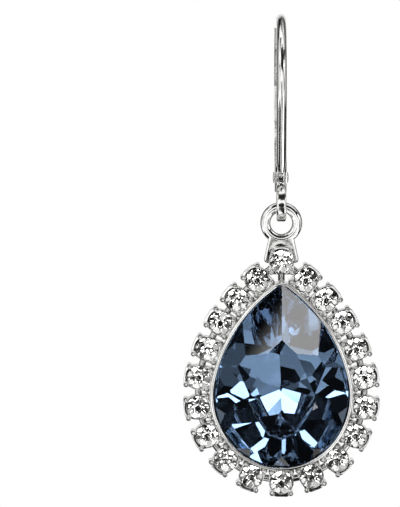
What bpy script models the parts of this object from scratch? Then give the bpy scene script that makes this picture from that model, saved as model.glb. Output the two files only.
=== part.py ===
# Teardrop earring on a hinged ear wire, with a pear crystal in a halo of small square-set stones.
# The origin is the top of the inside of the ear wire, where the earring hangs in the lobe.
# +Z is up, the crystal faces -Y, and the hinged lever is at the back, on the +Y side.
import math

import bmesh
import bpy
from mathutils import Matrix, Vector

MM = 0.001

# Ear wire: an arc over the lobe and a straight leg at the front.
WIRE_WIDTH = 0.76 * MM
WIRE_DEPTH = 0.95 * MM
WIRE_INNER_RADIUS = 4.03 * MM
WIRE_END_ANGLE = math.radians(157.5)
WIRE_LEG_ANGLE = math.radians(-28.0)
WIRE_LEG_LENGTH = 5.7 * MM
WIRE_TIP_WIDTH = 0.46 * MM
WIRE_TAPER_FROM = math.radians(104.0)
WIRE_TAPER_TO = math.radians(120.0)
WIRE_SIDES = 12
WIRE_STEPS = 24

# Flat plate under the leg, and the ring that the drop hangs in.
PLATE_THICKNESS = 0.40 * MM
PLATE_LEG_SHARE = 0.93
PLATE_BOSS_STEP = 0.002 * MM
RING_BACK = -1.63 * MM
RING_DOWN = 13.29 * MM
RING_OUTER_RADIUS = 1.41 * MM
RING_HOLE_RADIUS = 0.76 * MM
RING_THICKNESS = 0.73 * MM
RING_EDGE = 0.14 * MM
RING_SIDES = 28

# Rivet that the lever turns on.
RIVET_BACK = 1.60 * MM
RIVET_DOWN = 11.34 * MM
RIVET_PIN_RADIUS = 0.24 * MM
RIVET_HEAD_RADIUS = 0.43 * MM
RIVET_HEAD_HEIGHT = 0.12 * MM
RIVET_BOSS_RADIUS = 0.85 * MM
RIVET_SIDES = 14

# Lever: a folded channel whose back is an arc, open toward the lobe.
LEVER_WIDTH = 0.90 * MM
LEVER_SHEET = 0.17 * MM
LEVER_RADIUS = 8.65 * MM
LEVER_TIP_ANGLE = math.radians(133.0)
LEVER_CORNER_ANGLE = math.radians(223.0)
LEVER_CENTRE_AHEAD = 4.66 * MM
LEVER_CENTRE_ABOVE = 5.79 * MM
LEVER_WALL = 1.02 * MM
LEVER_HEEL_GAP = 0.22 * MM
LEVER_STEPS = 24

# Drop: how it hangs from the ring.
DROP_TILT = math.radians(4.0)
DROP_LENGTH = 13.88 * MM
HALO_BACK_AHEAD = -0.60 * MM

# Loop and tab soldered behind the top cup.
LOOP_OUTER_RADIUS = 1.58 * MM
LOOP_THICKNESS = 0.77 * MM
LOOP_SIDES = 10
LOOP_STEPS = 28
TAB_TOP_WIDTH = 1.80 * MM
TAB_FOOT_WIDTH = 2.60 * MM
TAB_OVERLAP = 1.33 * MM

# Pear outline of the crystal's visible face.
PEAR_HALF_WIDTH = 5.05 * MM
PEAR_LOWER_HEIGHT = 5.42 * MM
PEAR_SIDE_RADIUS = 11.5 * MM
PEAR_SHOULDER_ANGLE = math.radians(12.0)
PEAR_TIP_RADIUS = 0.75 * MM

# Bezel and closed back.
BEZEL_RIM = 0.30 * MM
BEZEL_WALL = 0.45 * MM
BEZEL_FRONT = 2.55 * MM
BACK_DEPTH = 3.12 * MM
BACK_SHEET = 0.45 * MM
BACK_SHARE = 0.85
BACK_PEAK_RISE = 0.26 * MM

# Pear crystal.
CRYSTAL_GRIP = 0.12 * MM
CRYSTAL_GIRDLE = 0.22 * MM
CRYSTAL_CROWN = 1.46 * MM
CRYSTAL_PAVILION = 4.05 * MM

# Halo of square cups, each with a round stone.
CUPS_PER_SIDE = 9
CUP_OFFSET = 1.27 * MM
TOP_CUP_OFFSET = 1.80 * MM
CUP_SPREAD = 1.05
CUP_WIDTH = 1.85 * MM
CUP_OUTER_WIDTH = 1.30 * MM
CUP_OUTWARD = 1.10 * MM
CUP_INWARD = 0.98 * MM
CUP_HEIGHT = 1.40 * MM
LINK_HEIGHT = 0.50 * MM
LINK_WIDTH = 0.60 * MM
CHATON_RADIUS = 0.83 * MM
CHATON_TABLE_RADIUS = 0.46 * MM
CHATON_CROWN = 0.40 * MM
CHATON_GIRDLE = 0.06 * MM
CHATON_PAVILION = 0.74 * MM
PRONG_RADIUS = 0.19 * MM
PRONG_HEIGHT = 2.06 * MM
PRONG_LEAN = 0.10 * MM
PRONG_SIDES = 6

# Clearances between pieces.
SEAT_GAP = 0.04 * MM
PIN_GAP = 0.04 * MM
HANG_GAP = 0.06 * MM
CUT_OVER = 0.5 * MM

# Crown cuts of the pear crystal, one row for each pair of facets.
# turn: direction that the facet faces in the front view, from +X toward +Z, in degrees.
# rise: how steeply the facet climbs from the girdle, in degrees.
# lift: how far up the crown the facet would start, as a share of the crown's height.
CROWN_CUTS = (
    (47.0, 24.2, 0.00),
    (2.0, 28.2, 0.00),
    (-34.0, 27.5, 0.00),
    (-71.0, 31.0, 0.00),
    (29.0, 32.3, 0.00),
    (-16.0, 35.0, 0.00),
    (-53.0, 36.0, 0.00),
    (-90.0, 36.0, 0.00),
    (24.0, 17.2, 0.36),
    (-15.0, 18.5, 0.38),
    (-52.0, 20.0, 0.38),
    (-90.0, 21.0, 0.42),
)

# Pavilion cuts, with the same columns measured down from the girdle.
PAVILION_CUTS = (
    (47.0, 41.0, 0.00),
    (18.0, 41.0, 0.00),
    (-12.0, 41.0, 0.00),
    (-42.0, 41.0, 0.00),
    (-72.0, 41.0, 0.00),
    (33.0, 50.0, 0.00),
    (3.0, 50.0, 0.00),
    (-27.0, 50.0, 0.00),
    (-57.0, 50.0, 0.00),
    (-90.0, 48.0, 0.00),
)

# Inner edge of the lever's side walls above the ears, one row for each point.
# angle: place along the lever's arc, in degrees; share: width of the wall there, as a share of LEVER_WALL.
LEVER_WALL_EDGE = (
    (133.6, 0.94),
    (142.0, 1.00),
    (156.0, 1.02),
    (169.5, 1.00),
    (171.0, 0.68),
    (190.0, 0.68),
    (191.5, 0.93),
)

# Outline of the lever's ears round the rivet, as shares of RIVET_BOSS_RADIUS.
# back: distance behind the rivet; up: distance above it.
LEVER_EAR = (
    (2.87, 3.82),
    (1.86, 2.99),
    (0.28, 1.96),
    (-1.64, 1.01),
    (-1.58, 0.46),
    (-1.18, -0.56),
    (-0.51, -1.29),
    (-0.06, -1.24),
    (0.96, -0.85),
)

# Side outline of the plate beside the ring, as shares of RING_OUTER_RADIUS, in the same columns.
PLATE_BY_RING = (
    (0.12, 1.09),
    (-0.38, 0.68),
    (0.00, 0.00),
    (0.97, 0.00),
)

# Side outline of the plate round the rivet, as shares of RIVET_BOSS_RADIUS, in the same columns.
PLATE_BY_RIVET = (
    (-0.51, -1.29),
    (0.50, -0.86),
    (0.50, 0.86),
    (-0.60, 0.78),
    (-1.75, -0.12),
    (-2.50, -0.12),
)

# Closed back, one row for each ring of corners.
# depth: distance behind the halo's back plane, as a share of BACK_DEPTH; size: share of the bezel's outline.
BACK_SECTION = (
    (-0.25, BACK_SHARE),
    (0.00, BACK_SHARE),
    (0.80, 0.27),
    (1.00, 0.08),
)

# Directions of the back's corners, from +X toward +Z, in degrees.
BACK_CORNERS = (-90.0, -52.0, -12.0, 30.0, 56.0, 90.0, 124.0, 150.0, 192.0, 232.0)

# Prong, one row for each ring.
# height: share of PRONG_HEIGHT; lean: share of PRONG_LEAN; size: share of PRONG_RADIUS.
PRONG_SECTION = (
    (0.37, 0.0, 1.0),
    (0.76, 0.0, 1.0),
    (0.96, 1.0, 0.9),
)

WIRE_MID_RADIUS = WIRE_INNER_RADIUS + WIRE_DEPTH / 2
WIRE_CENTRE = Vector((0.0, 0.0, -WIRE_INNER_RADIUS))
RING_CENTRE = Vector((0.0, RING_BACK, -RING_DOWN))
RIVET_CENTRE = Vector((0.0, RIVET_BACK, -RIVET_DOWN))
LEVER_CENTRE = RIVET_CENTRE + Vector((0.0, -LEVER_CENTRE_AHEAD, LEVER_CENTRE_ABOVE))
LEVER_CHANNEL = LEVER_WIDTH - 2 * LEVER_SHEET
LOOP_SECTION_RADIUS = LOOP_THICKNESS / 2
LOOP_MID_RADIUS = LOOP_OUTER_RADIUS - LOOP_SECTION_RADIUS
DROP_PIVOT = RING_CENTRE - Vector((0.0, 0.0, RING_HOLE_RADIUS - LOOP_SECTION_RADIUS - HANG_GAP))
HALO_FRAME = Matrix.Translation((0.0, -HALO_BACK_AHEAD, -DROP_LENGTH)) @ Matrix.Rotation(DROP_TILT, 4, "X")
CRYSTAL_GIRDLE_FRONT = BEZEL_FRONT - 0.5 * BEZEL_RIM - SEAT_GAP
CHATON_GIRDLE_FRONT = CUP_HEIGHT + SEAT_GAP


def clear_scene():
    for item in list(bpy.data.objects):
        bpy.data.objects.remove(item, do_unlink=True)


def make_material(name, colour, metallic, roughness, transmission=0.0):
    material = bpy.data.materials.new(name)
    material.use_nodes = True
    shader = material.node_tree.nodes["Principled BSDF"]
    shader.inputs["Base Color"].default_value = (*colour, 1.0)
    shader.inputs["Metallic"].default_value = metallic
    shader.inputs["Roughness"].default_value = roughness
    shader.inputs["Transmission Weight"].default_value = transmission
    material.diffuse_color = (*colour, 1.0)
    return material


def make_empty(name, place):
    empty = bpy.data.objects.new(name, None)
    empty.location = place
    bpy.context.scene.collection.objects.link(empty)
    return empty


def make_object(name, mesh_data, material=None, parent=None, place=None):
    """Object from a bmesh, with its faces turned outward and its material set."""
    bmesh.ops.recalc_face_normals(mesh_data, faces=mesh_data.faces)
    mesh = bpy.data.meshes.new(name)
    mesh_data.to_mesh(mesh)
    mesh_data.free()
    if material:
        mesh.materials.append(material)
    item = bpy.data.objects.new(name, mesh)
    bpy.context.scene.collection.objects.link(item)
    if parent:
        item.parent = parent
    if place:
        item.matrix_local = place
    return item


def smooth(item, degrees):
    item.data.shade_smooth()
    item.data.set_sharp_from_angle(angle=math.radians(degrees))


def combine(item, other, operation):
    """Exact Boolean with a hidden cutter or helper body."""
    other.hide_render = True
    other.display_type = "WIRE"
    modifier = item.modifiers.new(other.name, "BOOLEAN")
    modifier.operation = operation
    modifier.solver = "EXACT"
    modifier.object = other


def loft(rings, closed=False):
    """Skin through rings that have the same number of points, capped unless it closes on itself."""
    shape = bmesh.new()
    rows = [[shape.verts.new(point) for point in ring] for ring in rings]
    pairs = list(zip(rows, rows[1:]))
    if closed:
        pairs.append((rows[-1], rows[0]))
    for first, second in pairs:
        for near, far in zip(range(len(first)), [*range(1, len(first)), 0]):
            shape.faces.new((first[near], first[far], second[far], second[near]))
    if not closed:
        shape.faces.new(rows[0])
        shape.faces.new(rows[-1])
    return shape


def add_prism(shape, outline, low, high, place):
    """Extrude an outline of (x, z) points from depth low to depth high, both measured toward -Y."""
    ends = []
    for depth in (low, high):
        ends.append([shape.verts.new(place @ Vector((x, -depth, z))) for x, z in outline])
    shape.faces.new(ends[0])
    shape.faces.new(ends[1])
    for index in range(len(outline)):
        after = (index + 1) % len(outline)
        shape.faces.new((ends[0][index], ends[0][after], ends[1][after], ends[1][index]))


def side_prism(outline, half_width):
    """Extrude an outline of (y, z) points to both sides along X."""
    rings = [[Vector((x, y, z)) for y, z in outline] for x in (-half_width, half_width)]
    return loft(rings)


def turned(profile, sides, centre):
    """Body turned about a line along X, from (x, radius) rows."""
    rings = []
    for x, radius in profile:
        ring = []
        for index in range(sides):
            angle = 2 * math.pi * index / sides
            ring.append(centre + Vector((x, radius * math.cos(angle), radius * math.sin(angle))))
        rings.append(ring)
    return loft(rings)


def on_arc(centre, radius, angle):
    """Point of a circle in the side plane; 0 is its front and 90 degrees is its top."""
    return centre + Vector((0.0, -radius * math.cos(angle), radius * math.sin(angle)))


def wire_width_at(angle):
    share = (angle - WIRE_TAPER_FROM) / (WIRE_TAPER_TO - WIRE_TAPER_FROM)
    share = min(max(share, 0.0), 1.0)
    return WIRE_WIDTH + (WIRE_TIP_WIDTH - WIRE_WIDTH) * share


def wire_section(centre, outward, width, depth):
    ring = []
    for index in range(WIRE_SIDES):
        angle = 2 * math.pi * (index + 0.5) / WIRE_SIDES
        across = 0.5 * width * math.cos(angle)
        along = 0.5 * depth * math.sin(angle)
        ring.append(centre + Vector((across, 0.0, 0.0)) + outward * along)
    return ring


def leg_direction():
    return Vector((0.0, math.sin(WIRE_LEG_ANGLE), math.cos(WIRE_LEG_ANGLE))) * -1


def wire_body():
    """Arc from the tucked-in tip over the lobe, then the straight leg down to the plate."""
    rings = []
    tip_outward = on_arc(Vector(), 1.0, WIRE_END_ANGLE)
    tip_centre = on_arc(WIRE_CENTRE, WIRE_MID_RADIUS, WIRE_END_ANGLE)
    tip_forward = Vector((0.0, math.sin(WIRE_END_ANGLE), math.cos(WIRE_END_ANGLE))) * -1
    for share, reach in ((0.45, 0.24), (0.80, 0.14)):
        centre = tip_centre - tip_forward * WIRE_DEPTH * reach
        rings.append(wire_section(centre, tip_outward, WIRE_TIP_WIDTH * share, WIRE_DEPTH * share))
    for step in range(WIRE_STEPS + 1):
        angle = WIRE_END_ANGLE + (WIRE_LEG_ANGLE - WIRE_END_ANGLE) * step / WIRE_STEPS
        centre = on_arc(WIRE_CENTRE, WIRE_MID_RADIUS, angle)
        rings.append(wire_section(centre, on_arc(Vector(), 1.0, angle), wire_width_at(angle), WIRE_DEPTH))
    outward = on_arc(Vector(), 1.0, WIRE_LEG_ANGLE)
    for share, width in ((0.90, WIRE_WIDTH), (1.0, PLATE_THICKNESS * 1.02)):
        rings.append(wire_section(leg_point(share), outward, width, WIRE_DEPTH))
    return loft(rings)


def leg_point(share):
    start = on_arc(WIRE_CENTRE, WIRE_MID_RADIUS, WIRE_LEG_ANGLE)
    return start + leg_direction() * WIRE_LEG_LENGTH * share


def plate_outline():
    """Side outline of the plate: leg, notch, ring shoulder, lower edge, boss and the notch behind the leg."""
    leg = leg_point(PLATE_LEG_SHARE)
    across = on_arc(Vector(), 1.0, WIRE_LEG_ANGLE) * WIRE_DEPTH / 2
    front, back = leg + across, leg - across
    points = [(front.y, front.z)]
    for centre, reach, rows in (
        (RING_CENTRE, RING_OUTER_RADIUS, PLATE_BY_RING),
        (RIVET_CENTRE, RIVET_BOSS_RADIUS, PLATE_BY_RIVET),
    ):
        for back_share, up_share in rows:
            points.append((centre.y + back_share * reach, centre.z + up_share * reach))
    points.append((back.y, back.z))
    return points


def ring_profile(outer):
    """Half section of the thick ring with its edges broken."""
    half = RING_THICKNESS / 2
    edge = RING_EDGE
    return ((-half, outer - edge), (-half + edge, outer), (half - edge, outer), (half, outer - edge))


def ring_hole_profile():
    half = RING_THICKNESS / 2
    edge = RING_EDGE
    far = half + CUT_OVER
    return (
        (-far, RING_HOLE_RADIUS + edge + CUT_OVER),
        (-half + edge, RING_HOLE_RADIUS),
        (half - edge, RING_HOLE_RADIUS),
        (far, RING_HOLE_RADIUS + edge + CUT_OVER),
    )


def bore_profile(reach):
    """Straight bore with running room for the rivet's pin."""
    radius = RIVET_PIN_RADIUS + PIN_GAP
    return ((-reach, radius), (reach, radius))


def make_ear_wire(silver):
    """Wire, plate and ring as one piece of metal."""
    body = make_object("ear_wire", wire_body(), silver)
    plate = make_object("guide_plate", side_prism(plate_outline(), PLATE_THICKNESS / 2))
    boss_half = PLATE_THICKNESS / 2 - PLATE_BOSS_STEP
    boss = make_object("guide_boss", turned(
        ((-boss_half, RIVET_BOSS_RADIUS), (boss_half, RIVET_BOSS_RADIUS)), RING_SIDES, RIVET_CENTRE))
    ring = make_object("guide_ring", turned(ring_profile(RING_OUTER_RADIUS), RING_SIDES, RING_CENTRE))
    hole = make_object("cut_ring_hole", turned(ring_hole_profile(), RING_SIDES, RING_CENTRE))
    bore = make_object("cut_plate_bore", turned(bore_profile(PLATE_THICKNESS), RIVET_SIDES, RIVET_CENTRE))
    combine(body, plate, "UNION")
    combine(body, boss, "UNION")
    combine(body, ring, "UNION")
    combine(body, hole, "DIFFERENCE")
    combine(body, bore, "DIFFERENCE")
    smooth(body, 40)
    return body


def lever_outline():
    """Side outline of the folded lever, relative to the rivet."""
    centre = LEVER_CENTRE - RIVET_CENTRE
    points = []
    for step in range(LEVER_STEPS + 1):
        angle = LEVER_TIP_ANGLE + (LEVER_CORNER_ANGLE - LEVER_TIP_ANGLE) * step / LEVER_STEPS
        point = on_arc(centre, LEVER_RADIUS, angle)
        points.append((point.y, point.z))
    for back, up in reversed(LEVER_EAR):
        points.append((back * RIVET_BOSS_RADIUS, up * RIVET_BOSS_RADIUS))
    for angle, share in reversed(LEVER_WALL_EDGE):
        point = on_arc(centre, LEVER_RADIUS - LEVER_WALL * share, math.radians(angle))
        points.append((point.y, point.z))
    return points


def make_lever(silver, hinge):
    """Folded channel with its ears on both sides of the plate, closed over the wire's tip."""
    body = make_object("lever", side_prism(lever_outline(), LEVER_WIDTH / 2), silver, hinge)
    centre = LEVER_CENTRE - RIVET_CENTRE
    half = LEVER_CHANNEL / 2
    inner = LEVER_RADIUS - LEVER_SHEET
    channel = make_object("cut_channel", turned(
        ((-half, inner), (half, inner)), 4 * LEVER_STEPS, centre), parent=hinge)
    heel_radius = math.hypot(*PLATE_BY_RIVET[0]) * RIVET_BOSS_RADIUS + LEVER_HEEL_GAP
    heel = make_object("cut_heel_room", turned(
        ((-0.98 * half, heel_radius), (0.98 * half, heel_radius)), 2 * RIVET_SIDES, Vector()), parent=hinge)
    bore_body = turned(bore_profile(LEVER_WIDTH), RIVET_SIDES, Vector())
    bore = make_object("cut_lever_bore", bore_body, parent=hinge)
    combine(body, channel, "DIFFERENCE")
    combine(body, heel, "DIFFERENCE")
    combine(body, bore, "DIFFERENCE")
    smooth(body, 30)
    return body


def make_rivet(silver):
    """Pin through the ears and the plate, with a low round head on each side."""
    seat = LEVER_WIDTH / 2 + SEAT_GAP
    top = seat + RIVET_HEAD_HEIGHT
    rows = [
        (seat, RIVET_PIN_RADIUS),
        (seat, RIVET_HEAD_RADIUS),
        (seat + 0.45 * RIVET_HEAD_HEIGHT, 0.92 * RIVET_HEAD_RADIUS),
        (seat + 0.85 * RIVET_HEAD_HEIGHT, 0.62 * RIVET_HEAD_RADIUS),
        (top, 0.28 * RIVET_HEAD_RADIUS),
    ]
    profile = [(-x, radius) for x, radius in reversed(rows)] + rows
    rivet = make_object("lever_rivet", turned(profile, RIVET_SIDES, Vector()), silver)
    rivet.location = RIVET_CENTRE
    smooth(rivet, 50)
    return rivet


def pear_point(turn, out=0.0):
    """Point of the pear outline whose outward normal is turned by this angle from +X, moved outward."""
    side_x = -(PEAR_SIDE_RADIUS - PEAR_HALF_WIDTH) * math.cos(PEAR_SHOULDER_ANGLE)
    side_z = -(PEAR_SIDE_RADIUS - PEAR_HALF_WIDTH) * math.sin(PEAR_SHOULDER_ANGLE)
    tip_z = side_z + math.sqrt((PEAR_SIDE_RADIUS - PEAR_TIP_RADIUS) ** 2 - side_x ** 2)
    join = math.atan2(tip_z - side_z, -side_x)
    cosine, sine = math.cos(turn), math.sin(turn)
    if turn <= 0.0:
        swing = math.atan2(sine * PEAR_LOWER_HEIGHT, cosine * PEAR_HALF_WIDTH)
        x, z = PEAR_HALF_WIDTH * math.cos(swing), PEAR_LOWER_HEIGHT * math.sin(swing)
    elif turn <= PEAR_SHOULDER_ANGLE:
        x, z = PEAR_HALF_WIDTH * cosine, PEAR_HALF_WIDTH * sine
    elif turn <= join:
        x, z = side_x + PEAR_SIDE_RADIUS * cosine, side_z + PEAR_SIDE_RADIUS * sine
    else:
        x, z = PEAR_TIP_RADIUS * cosine, tip_z + PEAR_TIP_RADIUS * sine
    return x + out * cosine, z + out * sine


def half_turns(step_degrees):
    count = round(180 / step_degrees)
    return [math.radians(-90 + 180 * index / count) for index in range(count + 1)]


def pear_outline(out, step_degrees=7.5):
    """Whole pear outline at a distance outside the visible face, from the bottom up its right side."""
    right = [pear_point(turn, out) for turn in half_turns(step_degrees)]
    left = [(-x, z) for x, z in reversed(right[1:-1])]
    return right + left


def halo_stations():
    """Places of the cups: (x, z, turn) of each, from the top one round both sides to the bottom one."""
    turns = list(reversed(half_turns(0.5)))
    line = [pear_point(turn, CUP_OFFSET) for turn in turns]
    reach = [0.0]
    for first, second in zip(line, line[1:]):
        reach.append(reach[-1] + math.dist(first, second))
    top = pear_point(math.pi / 2, TOP_CUP_OFFSET)
    stations = [(top[0], top[1], math.pi / 2)]
    for number in range(1, CUPS_PER_SIDE + 1):
        wanted = reach[-1] * (number / (CUPS_PER_SIDE + 1)) ** CUP_SPREAD
        index = next(place for place, distance in enumerate(reach) if distance >= wanted)
        x, z = line[index]
        turn = turns[index]
        stations.append((x, z, turn))
        stations.append((-x, z, math.pi - turn))
    bottom = pear_point(-math.pi / 2, CUP_OFFSET)
    stations.append((bottom[0], bottom[1], -math.pi / 2))
    return stations


def station_place(station):
    """Frame of a cup: its local +Z points away from the crystal."""
    x, z, turn = station
    return Matrix.Translation((x, 0.0, z)) @ Matrix.Rotation(math.pi / 2 - turn, 4, "Y")


def cup_outline():
    """Outline of a cup in its own frame, narrower on its outer side."""
    half, outer = CUP_WIDTH / 2, CUP_OUTER_WIDTH / 2
    right = [
        (half, -CUP_INWARD),
        (half, 0.45 * CUP_OUTWARD),
        ((half + outer) / 2, 0.83 * CUP_OUTWARD),
        (0.8 * outer, CUP_OUTWARD),
    ]
    return right + [(-x, z) for x, z in reversed(right)]


def prong_spots():
    """Corners of a cup, inside its outline and clear of the stone's seat."""
    inner = CUP_WIDTH / 2 - PRONG_RADIUS * 0.75
    outer = CUP_OUTER_WIDTH / 2 + PRONG_RADIUS * 0.35
    low = -CUP_INWARD + PRONG_RADIUS * 0.85
    high = CUP_OUTWARD - PRONG_RADIUS * 1.35
    return ((-inner, low), (inner, low), (-outer, high), (outer, high))


def add_prong(shape, x, z, place):
    """Post at a cup's corner whose rounded tip leans over the stone."""
    reach = math.hypot(x, z)
    rings = []
    for height, lean, size in PRONG_SECTION:
        ring = []
        centre_x = x - PRONG_LEAN * lean * x / reach
        centre_z = z - PRONG_LEAN * lean * z / reach
        for index in range(PRONG_SIDES):
            angle = 2 * math.pi * (index + 0.5) / PRONG_SIDES
            across = centre_x + PRONG_RADIUS * size * math.cos(angle)
            along = centre_z + PRONG_RADIUS * size * math.sin(angle)
            ring.append(shape.verts.new(place @ Vector((across, -PRONG_HEIGHT * height, along))))
        rings.append(ring)
    tip_x = x - PRONG_LEAN * 1.4 * x / reach
    tip_z = z - PRONG_LEAN * 1.4 * z / reach
    tip = shape.verts.new(place @ Vector((tip_x, -PRONG_HEIGHT, tip_z)))
    shape.faces.new(rings[0])
    for near in range(PRONG_SIDES):
        far = (near + 1) % PRONG_SIDES
        for first, second in zip(rings, rings[1:]):
            shape.faces.new((first[near], first[far], second[far], second[near]))
        shape.faces.new((rings[-1][near], rings[-1][far], tip))


def chaton_rings(radius, table_radius, front, girdle, crown, pavilion):
    """Rings of a round stone from its table to its point, as (depth, radius) rows."""
    rows = ((front + crown, table_radius), (front, radius), (front - girdle, radius))
    return rows, front - girdle - pavilion


def add_round_stone(shape, rows, point_depth, sides, place):
    """Round stone or its seat: table, crown, girdle and pavilion."""
    rings = []
    for depth, radius in rows:
        ring = []
        for index in range(sides):
            angle = 2 * math.pi * (index + 0.5) / sides
            spot = Vector((radius * math.cos(angle), -depth, radius * math.sin(angle)))
            ring.append(shape.verts.new(place @ spot))
        rings.append(ring)
    point = shape.verts.new(place @ Vector((0.0, -point_depth, 0.0)))
    shape.faces.new(rings[0])
    for near in range(sides):
        far = (near + 1) % sides
        for first, second in zip(rings, rings[1:]):
            shape.faces.new((first[near], first[far], second[far], second[near]))
        shape.faces.new((rings[-1][near], rings[-1][far], point))


def chaton_shape():
    """Round stone with eight crown facets between table and girdle, star facets and a pointed back."""
    shape = bmesh.new()
    front = CHATON_GIRDLE_FRONT
    table, girdle_top, girdle_low = [], [], []
    for index in range(8):
        angle = math.pi * (index + 0.5) / 4
        x, z = CHATON_TABLE_RADIUS * math.cos(angle), CHATON_TABLE_RADIUS * math.sin(angle)
        table.append(shape.verts.new(Vector((x, -front - CHATON_CROWN, z))))
    for index in range(16):
        angle = math.pi * (index + 0.5) / 8
        x, z = CHATON_RADIUS * math.cos(angle), CHATON_RADIUS * math.sin(angle)
        girdle_top.append(shape.verts.new(Vector((x, -front, z))))
        girdle_low.append(shape.verts.new(Vector((x, -front + CHATON_GIRDLE, z))))
    point = shape.verts.new(Vector((0.0, -front + CHATON_GIRDLE + CHATON_PAVILION, 0.0)))
    shape.faces.new(table)
    for index in range(8):
        after = (index + 1) % 8
        left, right, beyond = 2 * index, 2 * index + 1, (2 * index + 2) % 16
        shape.faces.new((table[index], girdle_top[left], girdle_top[right]))
        shape.faces.new((table[index], girdle_top[right], girdle_top[beyond], table[after]))
    for index in range(16):
        after = (index + 1) % 16
        shape.faces.new((girdle_top[index], girdle_top[after], girdle_low[after], girdle_low[index]))
        shape.faces.new((girdle_low[index], girdle_low[after], point))
    return shape


def cut_facet(shape, turn, rise, start, toward, grow):
    """Plane cut that climbs inward from the outline; toward is -1 for the crown and +1 for the back."""
    x, z = pear_point_any(turn, CRYSTAL_GRIP)
    lean = math.sin(rise)
    normal = Vector((lean * math.cos(turn), toward * math.cos(rise), lean * math.sin(turn)))
    spot = Vector((x, start, z)) + normal * grow
    edges = shape.verts[:] + shape.edges[:] + shape.faces[:]
    cut = bmesh.ops.bisect_plane(
        shape, geom=edges, dist=1e-9, plane_co=spot, plane_no=normal, clear_outer=True)
    rim = [item for item in cut["geom_cut"] if isinstance(item, bmesh.types.BMEdge)]
    if rim:
        bmesh.ops.holes_fill(shape, edges=rim, sides=0)


def crystal_shape(grow=0.0):
    """Pear stone cut by planes from a blank, crown in front and pavilion behind; grown for its seat."""
    shape = bmesh.new()
    front = CRYSTAL_GIRDLE_FRONT + CRYSTAL_CROWN + grow
    back = CRYSTAL_GIRDLE_FRONT - CRYSTAL_GIRDLE - CRYSTAL_PAVILION - grow
    add_prism(shape, pear_outline(CRYSTAL_GRIP + grow), back, front, Matrix())
    for cuts, start, span, toward in (
        (CROWN_CUTS, -CRYSTAL_GIRDLE_FRONT, CRYSTAL_CROWN, -1.0),
        (PAVILION_CUTS, -CRYSTAL_GIRDLE_FRONT + CRYSTAL_GIRDLE, CRYSTAL_PAVILION, 1.0),
    ):
        for turn, rise, lift in cuts:
            angles = {math.radians(turn), math.radians(180.0 - turn)}
            for angle in sorted(angles)[: 1 if turn == -90.0 else 2]:
                cut_facet(shape, angle, math.radians(rise), start + toward * lift * span, toward, grow)
    return shape


def bezel_shape():
    shape = bmesh.new()
    add_prism(shape, pear_outline(BEZEL_RIM), 0.0, BEZEL_FRONT, Matrix())
    return shape


def drawn_together(rows, outline):
    """Body through scaled copies of an outline, drawn together toward the back's peak."""
    rings = []
    for depth, share in rows:
        rise = BACK_PEAK_RISE * (1.0 - share)
        rings.append([Vector((x * share, depth, z * share + rise)) for x, z in outline])
    return loft(rings)


def back_shape():
    outline = [pear_point_any(math.radians(turn), BEZEL_RIM) for turn in BACK_CORNERS]
    return drawn_together([(BACK_DEPTH * depth, size) for depth, size in BACK_SECTION], outline)


def pear_point_any(turn, out):
    """Point of the outline for any direction round it."""
    x, z = pear_point(math.asin(math.sin(turn)), out)
    return (-x, z) if math.cos(turn) < -1e-9 else (x, z)


def cavity_shape():
    """Room behind the crystal: straight inside the bezel, then following the closed back."""
    top = CRYSTAL_GIRDLE_FRONT - CRYSTAL_GIRDLE * 0.5
    outline = pear_outline(BEZEL_RIM - BEZEL_WALL, 15.0)
    share = BACK_SHARE * 0.92
    rows = (
        (-top, 1.0),
        (-2 * BACK_SHEET, 1.0),
        (-0.5 * BACK_SHEET, share),
        (0.62 * BACK_DEPTH, 0.36 * share),
    )
    return drawn_together(rows, outline)


def loop_shape():
    """Closed round loop in the plane across the earring, hung at its top, in the pivot's frame."""
    centre = Vector((0.0, 0.0, -LOOP_MID_RADIUS))
    rings = []
    for step in range(LOOP_STEPS):
        angle = 2 * math.pi * (step + 0.5) / LOOP_STEPS
        outward = Vector((math.cos(angle), 0.0, math.sin(angle)))
        ring = []
        for index in range(LOOP_SIDES):
            turn = 2 * math.pi * (index + 0.5) / LOOP_SIDES
            across = outward * (LOOP_MID_RADIUS + LOOP_SECTION_RADIUS * math.cos(turn))
            ring.append(centre + across + Vector((0.0, LOOP_SECTION_RADIUS * math.sin(turn), 0.0)))
        rings.append(ring)
    shape = loft(rings, closed=True)
    shape.transform(HALO_FRAME.inverted())
    return shape


def tab_shape():
    """Flared tab from the loop down behind the top cup, which it overlaps, in the pivot's frame."""
    top = -LOOP_MID_RADIUS - 0.75 * LOOP_MID_RADIUS
    foot = pear_point(math.pi / 2, TOP_CUP_OFFSET)[1] + CUP_OUTWARD - DROP_LENGTH - TAB_OVERLAP
    corner = 0.12 * TAB_FOOT_WIDTH
    right = [
        (TAB_TOP_WIDTH / 2, top),
        (TAB_FOOT_WIDTH / 2, foot + corner),
        (TAB_FOOT_WIDTH / 2 - corner, foot),
    ]
    outline = right + [(-x, z) for x, z in reversed(right)]
    shape = bmesh.new()
    half = 0.92 * LOOP_SECTION_RADIUS
    add_prism(shape, outline, -half, half, Matrix())
    shape.transform(HALO_FRAME.inverted())
    return shape


def link_shape(stations):
    """Low bars that join each cup to the bezel and to the next cup."""
    shape = bmesh.new()
    half = LINK_WIDTH / 2
    low, high = -1.6 * CUP_INWARD, -0.5 * CUP_INWARD
    outline = ((-half, low), (half, low), (half, high), (-half, high))
    for station in stations:
        add_prism(shape, outline, 0.1 * LINK_HEIGHT, LINK_HEIGHT, station_place(station))
    return shape


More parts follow.
